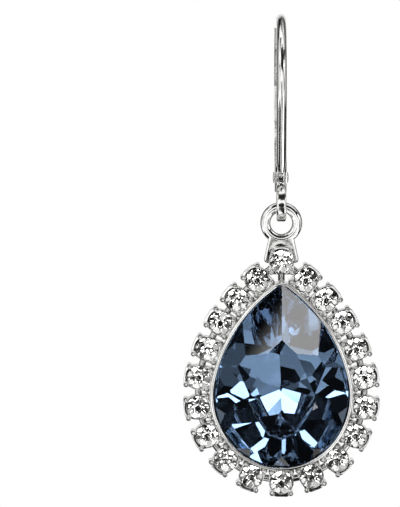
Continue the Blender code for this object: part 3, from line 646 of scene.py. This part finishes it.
def add_prong(bm, x, z):
    """Claw at a cup's corner, bent over the stone and rounded at its tip."""
    made = bmesh.ops.create_circle(bm, segments=12, radius=PRONG_RADIUS)["verts"]
    lean = Vector((-x, 0.0, -z)).normalized()
    for vert in made:
        vert.co = halo_point(x + vert.co.x, 0.0, z + vert.co.y)
    foot = list({edge for vert in made for edge in vert.link_edges})
    ring = foot
    centre = Vector((x, 0.0, z))
    size_before, lean_before = 1.0, 0.0
    for depth, size, share in PRONG_SECTION:
        shift = lean * PRONG_LEAN * share
        before = centre + lean * PRONG_LEAN * lean_before
        grown = size / size_before
        ring = grow_ring(bm, ring, lambda co: Vector((
            centre.x + shift.x + (co.x - before.x) * grown, -depth * MM,
            centre.z + shift.z + (co.z - before.z) * grown)))
        size_before, lean_before = size, share
    close_ring(bm, ring)
    close_ring(bm, foot)


def add_copy(bm, pattern, place):
    """Add a turned and moved copy of one shape to another."""
    mesh = bpy.data.meshes.new("copy")
    pattern.to_mesh(mesh)
    mesh.transform(place)
    bm.from_mesh(mesh)
    bpy.data.meshes.remove(mesh)


def make_halo(silver, shaded, stations):
    """Twenty cups with their claws, low link bars between them and to the bezel."""
    cup = square_cup()
    for x, z in prong_spots():
        add_prong(cup, x, z)
    cups = bmesh.new()
    for station in stations:
        add_copy(cups, cup, station_place(station))
    cup.free()
    # The silver passed in here is the cups' darker copy of the plating: painted shade.
    keep_piece("halo_cups", cups, "drop", [silver], ["setting"],
               sharp=40.0, place=HALO_PLACE)
    bars = bmesh.new()
    order = sorted(stations, key=lambda spot: math.atan2(spot[1], spot[0]))
    for first, second in zip(order, order[1:] + order[:1]):
        start = halo_point(first[0], LINK_DEPTH, first[1])
        end = halo_point(second[0], LINK_DEPTH, second[1])
        add_bar(bars, start, end, LINK_RADIUS)
        outward = Vector((math.cos(first[2]), 0.0, math.sin(first[2])))
        add_bar(bars, start, start - outward * LINK_REACH, LINK_RADIUS)
    # The link bars take the darker, shaded copy of the silver: painted shade.
    keep_piece("link_bars", bars, "drop", [shaded], sharp=40.0, place=HALO_PLACE)


def add_bar(bm, start, end, radius):
    along = end - start
    turn = along.to_track_quat("Z", "Y").to_matrix().to_4x4()
    place = Matrix.Translation((start + end) / 2) @ turn
    bmesh.ops.create_cone(
        bm, cap_ends=True, segments=12, radius1=radius, radius2=radius, depth=along.length, matrix=place)


def cut_facet(bm, spot, normal):
    """Plane cut through a stone; what lies beyond it is ground away."""
    everything = bm.verts[:] + bm.edges[:] + bm.faces[:]
    cut = bmesh.ops.bisect_plane(
        bm, geom=everything, dist=1e-9, plane_co=spot, plane_no=normal, clear_outer=True)
    rim = only(cut["geom_cut"], bmesh.types.BMEdge)
    if rim:
        close_ring(bm, rim)


def facet_normal(turn, rise, toward):
    """Way that a facet faces; toward is -1 for the crown and +1 for the pavilion."""
    tilt = math.sin(rise)
    return Vector((math.cos(turn) * tilt, toward * math.cos(rise), math.sin(turn) * tilt))


def pear_stone():
    """Pear stone ground from a blank: table and crown in front, pavilion behind."""
    bm = bmesh.new()
    front = CRYSTAL_GIRDLE_FRONT + CRYSTAL_CROWN
    back = CRYSTAL_GIRDLE_FRONT - CRYSTAL_GIRDLE - CRYSTAL_PAVILION
    ring, facing = pear_ring(bm, CRYSTAL_GRIP, front, CRYSTAL_STEPS)
    close_ring(bm, ring)
    grown = grow_ring(bm, ring, lambda co: Vector((co.x, -back, co.z)))
    close_ring(bm, grown)
    bm.verts.layers.float.remove(facing)
    for cuts, start, span, toward, skew in (
        (CROWN_CUTS, -CRYSTAL_GIRDLE_FRONT, CRYSTAL_CROWN, -1.0, 0.0),
        (PAVILION_CUTS, -CRYSTAL_GIRDLE_FRONT + CRYSTAL_GIRDLE, CRYSTAL_PAVILION, 1.0, PAVILION_SKEW),
    ):
        for turn, rise, lift in cuts:
            for way in ([turn] if turn == -90.0 else [turn, 180.0 - turn + skew]):
                x, z = pear_point(math.radians(way), CRYSTAL_GRIP)
                spot = Vector((x, start + toward * lift * span, z))
                cut_facet(bm, spot, facet_normal(math.radians(way), math.radians(rise), toward))
    mark_foil(bm, -CRYSTAL_GIRDLE_FRONT + 0.5 * CRYSTAL_GIRDLE)
    return bm


def mark_foil(bm, girdle):
    """Facets behind the girdle take the second material, the foil."""
    bmesh.ops.recalc_face_normals(bm, faces=bm.faces)
    for face in bm.faces:
        face.material_index = 1 if face.calc_center_median().y > girdle and face.normal.y > 0.2 else 0


def round_stone():
    """Small brilliant: table, star, kite and girdle facets, and a pavilion of mains and lower facets."""
    bm = bmesh.new()
    bmesh.ops.create_cone(
        bm, cap_ends=True, segments=STONE_STEPS, radius1=STONE_RADIUS, radius2=STONE_RADIUS, depth=1.3 * MM)
    blank = Matrix.Translation((0.0, -STONE_GIRDLE_FRONT + 0.20 * MM, 0.0))
    bm.transform(blank @ Matrix.Rotation(math.pi / 2, 4, "X"))
    front, behind = -STONE_GIRDLE_FRONT, -STONE_GIRDLE_FRONT + STONE_GIRDLE
    cut_facet(bm, Vector((0.0, front - STONE_CROWN, 0.0)), Vector((0.0, -1.0, 0.0)))
    # How many, offset, rise, where it starts, crown or pavilion, and share of the radius.
    rows = (
        (8, 0.0, 35.0, front, -1.0, 1.0),
        (16, 0.25, 42.0, front, -1.0, 1.0),
        (8, 0.5, 22.0, front - 0.20 * MM, -1.0, 0.90),
        (8, 0.0, 41.0, behind, 1.0, 1.0),
        (16, 0.25, 43.5, behind, 1.0, 1.0),
    )
    for count, offset, rise, start, toward, share in rows:
        for index in range(count):
            way = 2 * math.pi * (index + offset * (1 if count == 8 else 2)) / count
            reach = STONE_RADIUS * share
            spot = Vector((reach * math.cos(way), start, reach * math.sin(way)))
            cut_facet(bm, spot, facet_normal(way, math.radians(rise), toward))
    mark_foil(bm, (front + behind) / 2)
    return bm


def make_stones(blue, blue_foil, clear, clear_foil, stations):
    """Pear stone, and a small stone for each cup, each turned its own way."""
    keep_piece("cut_pear_crystal", pear_stone(), "drop", [blue, blue_foil],
               ["pear_crystal"], sharp=0.5, place=HALO_PLACE)
    for number, station in enumerate(stations, start=1):
        stone = round_stone()
        stone.transform(Matrix.Rotation(STONE_TURN * number, 4, "Y"))
        keep_piece(f"cut_stone_{number:02d}", stone, "drop", [clear, clear_foil],
                   [f"chaton_{number:02d}"], sharp=0.5, place=HALO_PLACE @ station_place(station))


def make_setting(silver, shade_dimmed_cup_silver, shaded, crease_shade, stations):
    # The bezel's second material is near-black painted shade in the crease at the crystal's edge.
    keep_piece("pear_bezel", bezel_wall(), "drop", [silver, crease_shade],
               sharp=40.0, place=HALO_PLACE)
    keep_piece("faceted_back", closed_back(), "drop", [silver],
               sharp=12.0, place=HALO_PLACE)
    # The cups take a darker copy of the same silver: painted shade.
    make_halo(shade_dimmed_cup_silver, shaded, stations)
    make_loop(silver)


def make_loop(silver):
    """Round loop and flared tab, soldered behind the top cup."""
    loop = bmesh.new()
    bmesh.ops.create_circle(loop, segments=LOOP_SIDES, radius=LOOP_SECTION_RADIUS)
    loop.transform(Matrix.Rotation(math.pi / 2, 4, "Y"))
    loop.transform(Matrix.Translation(DROP_PIVOT))
    centre = DROP_PIVOT - Vector((0.0, 0.0, LOOP_MID_RADIUS))
    bmesh.ops.spin(
        loop, geom=list(loop.edges), cent=centre, axis=(0, 1, 0), angle=2 * math.pi,
        steps=LOOP_SEGMENTS, use_merge=True)
    bmesh.ops.remove_doubles(loop, verts=loop.verts, dist=0.001 * MM)
    tab = bmesh.new()
    front = DROP_PIVOT - Vector((0.0, TAB_THICKNESS / 2, 0.0))
    right = [front + Vector((x, 0.0, z)) * MM for x, z in TAB_OUTLINE]
    left = [front + Vector((-x, 0.0, z)) * MM for x, z in reversed(TAB_OUTLINE)]
    face = tab.faces.new([tab.verts.new(point) for point in right + left])
    grown = bmesh.ops.extrude_face_region(tab, geom=[face])["geom"]
    bmesh.ops.translate(tab, verts=only(grown, bmesh.types.BMVert), vec=(0.0, TAB_THICKNESS, 0.0))
    rims = [edge for edge in tab.edges if abs(edge.verts[0].co.y - edge.verts[1].co.y) < 0.01 * MM]
    bmesh.ops.recalc_face_normals(tab, faces=tab.faces)
    bmesh.ops.bevel(
        tab, geom=rims, offset=TAB_ROUNDING, offset_type="OFFSET", affect="EDGES", segments=4,
        profile=0.5, material=-1)
    joined = fuse([loop, tab], ("UNION",))
    keep_piece("hanging_loop", joined, "drop", [silver], sharp=45.0)


def group_with(name, inputs, outputs):
    """Empty shader group with named sockets."""
    tree = bpy.data.node_groups.new(name, "ShaderNodeTree")
    for label, kind, value in inputs:
        socket = tree.interface.new_socket(label, in_out="INPUT", socket_type=kind)
        socket.default_value = value
    for label, kind in outputs:
        tree.interface.new_socket(label, in_out="OUTPUT", socket_type=kind)
    return tree, tree.nodes.new("NodeGroupInput"), tree.nodes.new("NodeGroupOutput")


def plating_group():
    """Plating seen close: cloudy tone, faint tarnishing, polishing lines and fine pits."""
    tree, inputs, outputs = group_with(
        "plating",
        (("Bright", "NodeSocketColor", (0.90, 0.90, 0.89, 1.0)),
         ("Dull", "NodeSocketColor", (0.72, 0.71, 0.69, 1.0)),
         ("Smooth", "NodeSocketFloat", 0.06), ("Rough", "NodeSocketFloat", 0.22)),
        (("Colour", "NodeSocketColor"), ("Roughness", "NodeSocketFloat"), ("Height", "NodeSocketFloat")))
    node, link = tree.nodes.new, tree.links.new
    place = node("ShaderNodeTexCoord")
    clouds = node("ShaderNodeTexNoise")
    clouds.inputs["Scale"].default_value = 900.0
    clouds.inputs["Detail"].default_value = 4.0
    pits = node("ShaderNodeTexNoise")
    pits.inputs["Scale"].default_value = 9000.0
    pits.inputs["Detail"].default_value = 3.0
    lines = node("ShaderNodeTexNoise")
    lines.inputs["Scale"].default_value = 2500.0
    lines.inputs["Detail"].default_value = 2.0
    stretch = node("ShaderNodeMapping")
    stretch.inputs["Scale"].default_value = (1.0, 6.0, 0.6)
    link(place.outputs["Object"], clouds.inputs["Vector"])
    link(place.outputs["Object"], pits.inputs["Vector"])
    link(place.outputs["Object"], stretch.inputs["Vector"])
    link(stretch.outputs["Vector"], lines.inputs["Vector"])
    tone = node("ShaderNodeMapRange")
    tone.inputs["From Min"].default_value = 0.42
    tone.inputs["From Max"].default_value = 0.72
    link(clouds.outputs["Fac"], tone.inputs["Value"])
    colour = node("ShaderNodeMix")
    colour.data_type = "RGBA"
    link(tone.outputs["Result"], colour.inputs["Factor"])
    link(inputs.outputs["Bright"], colour.inputs["A"])
    link(inputs.outputs["Dull"], colour.inputs["B"])
    link(colour.outputs["Result"], outputs.inputs["Colour"])
    shine = node("ShaderNodeMapRange")
    shine.inputs["From Min"].default_value = 0.35
    shine.inputs["From Max"].default_value = 0.75
    link(lines.outputs["Fac"], shine.inputs["Value"])
    link(inputs.outputs["Smooth"], shine.inputs["To Min"])
    link(inputs.outputs["Rough"], shine.inputs["To Max"])
    link(shine.outputs["Result"], outputs.inputs["Roughness"])
    height = node("ShaderNodeMath")
    height.operation = "MULTIPLY_ADD"
    height.inputs[1].default_value = 0.35
    link(lines.outputs["Fac"], height.inputs[0])
    link(pits.outputs["Fac"], height.inputs[2])
    link(height.outputs["Value"], outputs.inputs["Height"])
    return tree


def silver_plate(name, plating, bright=None, dull=None):
    material = bpy.data.materials.new(name)
    material.use_nodes = True
    nodes, link = material.node_tree.nodes, material.node_tree.links.new
    shader = nodes["Principled BSDF"]
    shader.inputs["Metallic"].default_value = 1.0
    wear = nodes.new("ShaderNodeGroup")
    wear.node_tree = plating
    if bright:
        wear.inputs["Bright"].default_value = (*bright, 1.0)
        wear.inputs["Dull"].default_value = (*dull, 1.0)
    bump = nodes.new("ShaderNodeBump")
    bump.inputs["Strength"].default_value = 0.12
    bump.inputs["Distance"].default_value = 0.01 * MM
    link(wear.outputs["Colour"], shader.inputs["Base Color"])
    link(wear.outputs["Roughness"], shader.inputs["Roughness"])
    link(wear.outputs["Height"], bump.inputs["Height"])
    link(bump.outputs["Normal"], shader.inputs["Normal"])
    return material


def tint_group():
    """Faint change of depth of colour through a stone."""
    tree, inputs, outputs = group_with(
        "stone_tint",
        (("Light", "NodeSocketColor", (1.0, 1.0, 1.0, 1.0)),
         ("Deep", "NodeSocketColor", (0.8, 0.8, 0.8, 1.0)),
         ("Scale", "NodeSocketFloat", 150.0)),
        (("Colour", "NodeSocketColor"),))
    node, link = tree.nodes.new, tree.links.new
    place = node("ShaderNodeTexCoord")
    clouds = node("ShaderNodeTexNoise")
    link(place.outputs["Object"], clouds.inputs["Vector"])
    link(inputs.outputs["Scale"], clouds.inputs["Scale"])
    colour = node("ShaderNodeMix")
    colour.data_type = "RGBA"
    link(clouds.outputs["Fac"], colour.inputs["Factor"])
    link(inputs.outputs["Light"], colour.inputs["A"])
    link(inputs.outputs["Deep"], colour.inputs["B"])
    link(colour.outputs["Result"], outputs.inputs["Colour"])
    return tree


def tinted_material(name, tint, light, deep):
    """Perfectly smooth material whose colour drifts between two tones."""
    material = bpy.data.materials.new(name)
    material.use_nodes = True
    nodes, link = material.node_tree.nodes, material.node_tree.links.new
    shader = nodes["Principled BSDF"]
    shader.inputs["Roughness"].default_value = 0.0
    colour = nodes.new("ShaderNodeGroup")
    colour.node_tree = tint
    colour.inputs["Light"].default_value = (*light, 1.0)
    colour.inputs["Deep"].default_value = (*deep, 1.0)
    link(colour.outputs["Colour"], shader.inputs["Base Color"])
    return material, shader


def stone_material(name, tint, light, deep, ior):
    material, shader = tinted_material(name, tint, light, deep)
    shader.inputs["IOR"].default_value = ior
    shader.inputs["Transmission Weight"].default_value = 1.0
    return material


def foil_material(name, tint, light, deep):
    material, shader = tinted_material(name, tint, light, deep)
    shader.inputs["Metallic"].default_value = 1.0
    return material


# Lamps and cards that the stones see: way to the middle, half width in degrees, light.
STUDIO_PANELS = (
    ((0.0, -0.990, -0.139), 8.0, 0.03),
    ((0.55, -0.62, 0.57), 13.0, 6.0),
    ((0.80, -0.48, 0.37), 9.0, 0.02),
    ((0.83, -0.55, -0.08), 14.0, 0.03),
    ((-0.66, -0.62, 0.42), 16.0, 0.02),
    ((-0.83, -0.55, -0.08), 12.0, 0.03),
    ((0.41, -0.85, 0.34), 7.0, 10.0),
    ((-0.44, -0.81, 0.38), 6.0, 10.0),
    ((-0.40, -0.56, -0.72), 7.0, 0.95),
)
# The room round the stones, below and above its horizon.
# Each row says from which share of the cells on a light holds.
ROOM_BELOW = ((0.00, 0.015), (0.26, 0.40), (0.44, 1.05), (0.68, 1.80), (0.97, 6.0))
ROOM_ABOVE = ((0.00, 0.012), (0.60, 0.60), (0.73, 9.0))
ROOM_HORIZON = 0.0
ROOM_SEED = (1.3, 0.2, 2.1)
ROOM_CELLS = 9.0
# The softer room that the metal mirrors, dimmed behind the earring, and its cards.
METAL_ROOM = ((0.00, 0.02), (0.31, 0.75), (0.46, 1.25), (0.90, 3.0))
METAL_SEED = (0.4, 1.7, 0.9)
METAL_CELLS = 2.6
METAL_BEHIND = 0.14
METAL_CARDS = (
    ((0.0, 0.99, 0.12), 24.0, 0.80),
    ((-1.0, 0.0, 0.05), 20.0, 0.66),
    ((1.0, 0.0, 0.05), 20.0, 0.66),
    ((0.50, 0.80, -0.33), 14.0, 0.45),
    ((-0.50, 0.80, -0.33), 14.0, 0.45),
)


def room_cells(tree, way, seed, cells):
    """Patchwork of walls, gaps and lamps: one random value for each cell of the directions."""
    shift = tree.nodes.new("ShaderNodeVectorMath")
    shift.inputs[1].default_value = seed
    tree.links.new(way, shift.inputs[0])
    walls = tree.nodes.new("ShaderNodeTexVoronoi")
    walls.inputs["Scale"].default_value = cells
    tree.links.new(shift.outputs["Vector"], walls.inputs["Vector"])
    pick = tree.nodes.new("ShaderNodeSeparateColor")
    tree.links.new(walls.outputs["Color"], pick.inputs["Color"])
    return pick.outputs["Red"]


def blend_value(tree, mask, under, value):
    """Replace a value by another one where the mask is 1."""
    mix = tree.nodes.new("ShaderNodeMix")
    mix.inputs["B"].default_value = value
    tree.links.new(mask, mix.inputs["Factor"])
    if under is not None:
        tree.links.new(under, mix.inputs["A"])
    return mix.outputs["Result"]


def step_tones(tree, value, tones):
    """Light of each cell, from a table of (share, light)."""
    total = None
    for start, light in tones:
        step = tree.nodes.new("ShaderNodeMath")
        step.operation = "GREATER_THAN"
        step.inputs[1].default_value = start
        tree.links.new(value, step.inputs[0])
        total = blend_value(tree, step.outputs["Value"], total, light)
    return total


def mix_values(tree, mask, under, over):
    """One value where the mask is 0 and another where it is 1."""
    mix = tree.nodes.new("ShaderNodeMix")
    tree.links.new(mask, mix.inputs["Factor"])
    tree.links.new(under, mix.inputs["A"])
    tree.links.new(over, mix.inputs["B"])
    return mix.outputs["Result"]


def add_panel(tree, way, under, panel):
    """Lamp or card: a round spot in one direction, over what the room shows there."""
    direction, half, light = panel
    aim = tree.nodes.new("ShaderNodeVectorMath")
    aim.operation = "DOT_PRODUCT"
    aim.inputs[1].default_value = Vector(direction).normalized()
    tree.links.new(way, aim.inputs[0])
    edge = tree.nodes.new("ShaderNodeMapRange")
    edge.interpolation_type = "SMOOTHSTEP"
    edge.inputs["From Min"].default_value = math.cos(math.radians(half * 1.05))
    edge.inputs["From Max"].default_value = math.cos(math.radians(half * 0.95))
    tree.links.new(aim.outputs["Value"], edge.inputs["Value"])
    return blend_value(tree, edge.outputs["Result"], under, light)


def studio_world():
    """White backdrop, and a room of light walls, dark gaps and lamps for metal and stones to mirror."""
    world = bpy.data.worlds.new("studio")
    bpy.context.scene.world = world
    world.use_nodes = True
    tree = world.node_tree
    nodes, link = tree.nodes, tree.links.new
    nodes.clear()
    output = nodes.new("ShaderNodeOutputWorld")
    way = nodes.new("ShaderNodeTexCoord").outputs["Generated"]
    toward = nodes.new("ShaderNodeSeparateXYZ")
    link(way, toward.inputs["Vector"])
    path = nodes.new("ShaderNodeLightPath")
    cells = room_cells(tree, way, ROOM_SEED, ROOM_CELLS)
    over = nodes.new("ShaderNodeMath")
    over.operation = "GREATER_THAN"
    over.inputs[1].default_value = ROOM_HORIZON
    link(toward.outputs["Z"], over.inputs[0])
    below, above = step_tones(tree, cells, ROOM_BELOW), step_tones(tree, cells, ROOM_ABOVE)
    stones = mix_values(tree, over.outputs["Value"], below, above)
    for panel in STUDIO_PANELS:
        stones = add_panel(tree, way, stones, panel)
    metal_cells = room_cells(tree, way, METAL_SEED, METAL_CELLS)
    fade = nodes.new("ShaderNodeMapRange")
    fade.inputs["From Min"].default_value = -0.35
    fade.inputs["From Max"].default_value = 0.45
    fade.inputs["To Min"].default_value = 1.0
    fade.inputs["To Max"].default_value = METAL_BEHIND
    link(toward.outputs["Y"], fade.inputs["Value"])
    dim = nodes.new("ShaderNodeMath")
    dim.operation = "MULTIPLY"
    link(step_tones(tree, metal_cells, METAL_ROOM), dim.inputs[0])
    link(fade.outputs["Result"], dim.inputs[1])
    metal = dim.outputs["Value"]
    for card in METAL_CARDS:
        metal = add_panel(tree, way, metal, card)
    total = mix_values(tree, path.outputs["Is Singular Ray"], metal, stones)
    room = nodes.new("ShaderNodeBackground")
    link(total, room.inputs["Color"])
    white = nodes.new("ShaderNodeBackground")
    white.inputs["Color"].default_value = (1.0, 1.0, 1.0, 1.0)
    mix = nodes.new("ShaderNodeMixShader")
    link(path.outputs["Is Camera Ray"], mix.inputs["Fac"])
    link(room.outputs["Background"], mix.inputs[1])
    link(white.outputs["Background"], mix.inputs[2])
    link(mix.outputs["Shader"], output.inputs["Surface"])


# Stage and lens, in metres; the photograph is 507 pixels high, each 0.075 mm at the earring's scale.
FLOOR_RADIUS = 1.2
FLOOR_DOWN = 0.26
PHOTO_HEIGHT = 507 * 0.075 * MM
CAMERA_DISTANCE = 0.42
CAMERA_PLACE = Vector((-6.1 * MM, -CAMERA_DISTANCE - 2.0 * MM, -17.09 * MM))
SENSOR_WIDTH = 36.0


def pale_floor():
    """Plain pale floor well below the hanging earring."""
    bm = bmesh.new()
    bmesh.ops.create_circle(bm, cap_ends=True, segments=64, radius=FLOOR_RADIUS)
    mesh = bpy.data.meshes.new("pale_floor")
    bm.to_mesh(mesh)
    bm.free()
    mesh.transform(Matrix.Translation((0.0, 0.0, -FLOOR_DOWN)))
    floor = bpy.data.objects.new("pale_floor", mesh)
    bpy.context.scene.collection.objects.link(floor)
    material = bpy.data.materials.new("pale_floor")
    material.use_nodes = True
    nodes, link = material.node_tree.nodes, material.node_tree.links.new
    shader = nodes["Principled BSDF"]
    shader.inputs["Base Color"].default_value = (0.9, 0.9, 0.9, 1.0)
    shader.inputs["Roughness"].default_value = 0.8
    glow = nodes.new("ShaderNodeEmission")
    path = nodes.new("ShaderNodeLightPath")
    mix = nodes.new("ShaderNodeMixShader")
    link(path.outputs["Is Camera Ray"], mix.inputs["Fac"])
    link(shader.outputs["BSDF"], mix.inputs[1])
    link(glow.outputs["Emission"], mix.inputs[2])
    link(mix.outputs["Shader"], nodes["Material Output"].inputs["Surface"])
    mesh.materials.append(material)
    floor.visible_glossy = False
    floor.visible_transmission = False


def front_camera():
    """Long lens straight at the earring's face, framed as in the photograph."""
    data = bpy.data.cameras.new("front_camera")
    data.sensor_width = SENSOR_WIDTH
    data.sensor_fit = "AUTO"
    data.lens = SENSOR_WIDTH * CAMERA_DISTANCE / PHOTO_HEIGHT
    data.clip_start, data.clip_end = 0.01, 5.0
    camera = bpy.data.objects.new("front_camera", data)
    camera.location = CAMERA_PLACE
    camera.rotation_euler = (math.pi / 2, 0.0, 0.0)
    bpy.context.scene.collection.objects.link(camera)
    bpy.context.scene.camera = camera


def dress():
    bpy.context.scene.view_settings.view_transform = "Standard"
    bpy.context.scene.cycles.max_bounces = 16
    bpy.context.scene.cycles.glossy_bounces = 12
    bpy.context.scene.cycles.transmission_bounces = 16
    plating = plating_group()
    silver = silver_plate("polished_silver_plate", plating)
    # Darker copy of the same silver for the cups: painted shade.
    shade_dimmed_cup_silver = silver_plate("cup_silver_plate_painted_shade", plating, (0.74, 0.74, 0.73), (0.54, 0.54, 0.52))
    # Still darker copy of the same silver for the link bars behind the cups: painted shade.
    shaded = silver_plate("shaded_silver_plate", plating, (0.58, 0.58, 0.57), (0.38, 0.38, 0.37))
    # Near-black copy of the silver: painted shade for the crease between the bezel lip and the crystal.
    crease_shade = silver_plate("painted_crease_shade", plating, (0.06, 0.06, 0.065), (0.03, 0.03, 0.03))
    tint = tint_group()
    blue = stone_material("denim_blue_crystal", tint, (0.155, 0.235, 0.335), (0.125, 0.20, 0.29), 1.56)
    blue_foil = foil_material("blue_crystal_foil", tint, (0.86, 0.88, 0.92), (0.78, 0.80, 0.86))
    clear = stone_material("clear_crystal", tint, (0.74, 0.74, 0.73), (0.62, 0.62, 0.61), 1.62)
    clear_foil = foil_material("clear_crystal_foil", tint, (0.94, 0.94, 0.94), (0.88, 0.88, 0.88))
    stations = halo_stations()
    make_wire_and_ring(silver)
    make_lever(silver)
    make_rivet(silver)
    make_setting(silver, shade_dimmed_cup_silver, shaded, crease_shade, stations)
    make_stones(blue, blue_foil, clear, clear_foil, stations)
    studio_world()
    pale_floor()
    front_camera()


dress()
